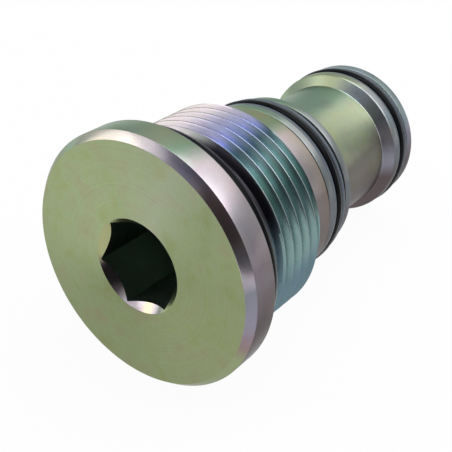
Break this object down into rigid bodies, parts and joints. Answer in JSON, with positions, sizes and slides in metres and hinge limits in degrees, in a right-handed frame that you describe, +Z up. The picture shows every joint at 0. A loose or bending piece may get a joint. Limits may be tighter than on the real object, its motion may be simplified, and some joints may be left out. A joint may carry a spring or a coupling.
{
  "type": "cavity plug",
  "caption": "Screw-in plug for a cartridge valve cavity: round head with a hexagon socket, fine thread, smooth neck, and O-rings with split backup rings.",
  "frame": {"origin": "on the plug's axis, in the plane of the seat face under the head", "axes": "+Y along the axis from the head towards the nose, +Z up as the plug lies on its side, X across it"},
  "size_m": [0.038, 0.0584, 0.038],
  "materials": {
    "zinc_plated_steel": "turned steel, zinc plated, with an olive passivation",
    "nitrile_rubber": "moulded black rubber, lightly oiled",
    "backup_plastic": "smooth blue-grey plastic"
  },
  "bodies": {
    "root": {"plug_body": "zinc_plated_steel", "head_o_ring": "nitrile_rubber", "upper_o_ring": "nitrile_rubber", "upper_backup_ring_front": "backup_plastic", "upper_backup_ring_rear": "backup_plastic", "nose_o_ring": "nitrile_rubber", "nose_backup_ring_front": "backup_plastic", "nose_backup_ring_rear": "backup_plastic"}
  },
  "joints": []
}
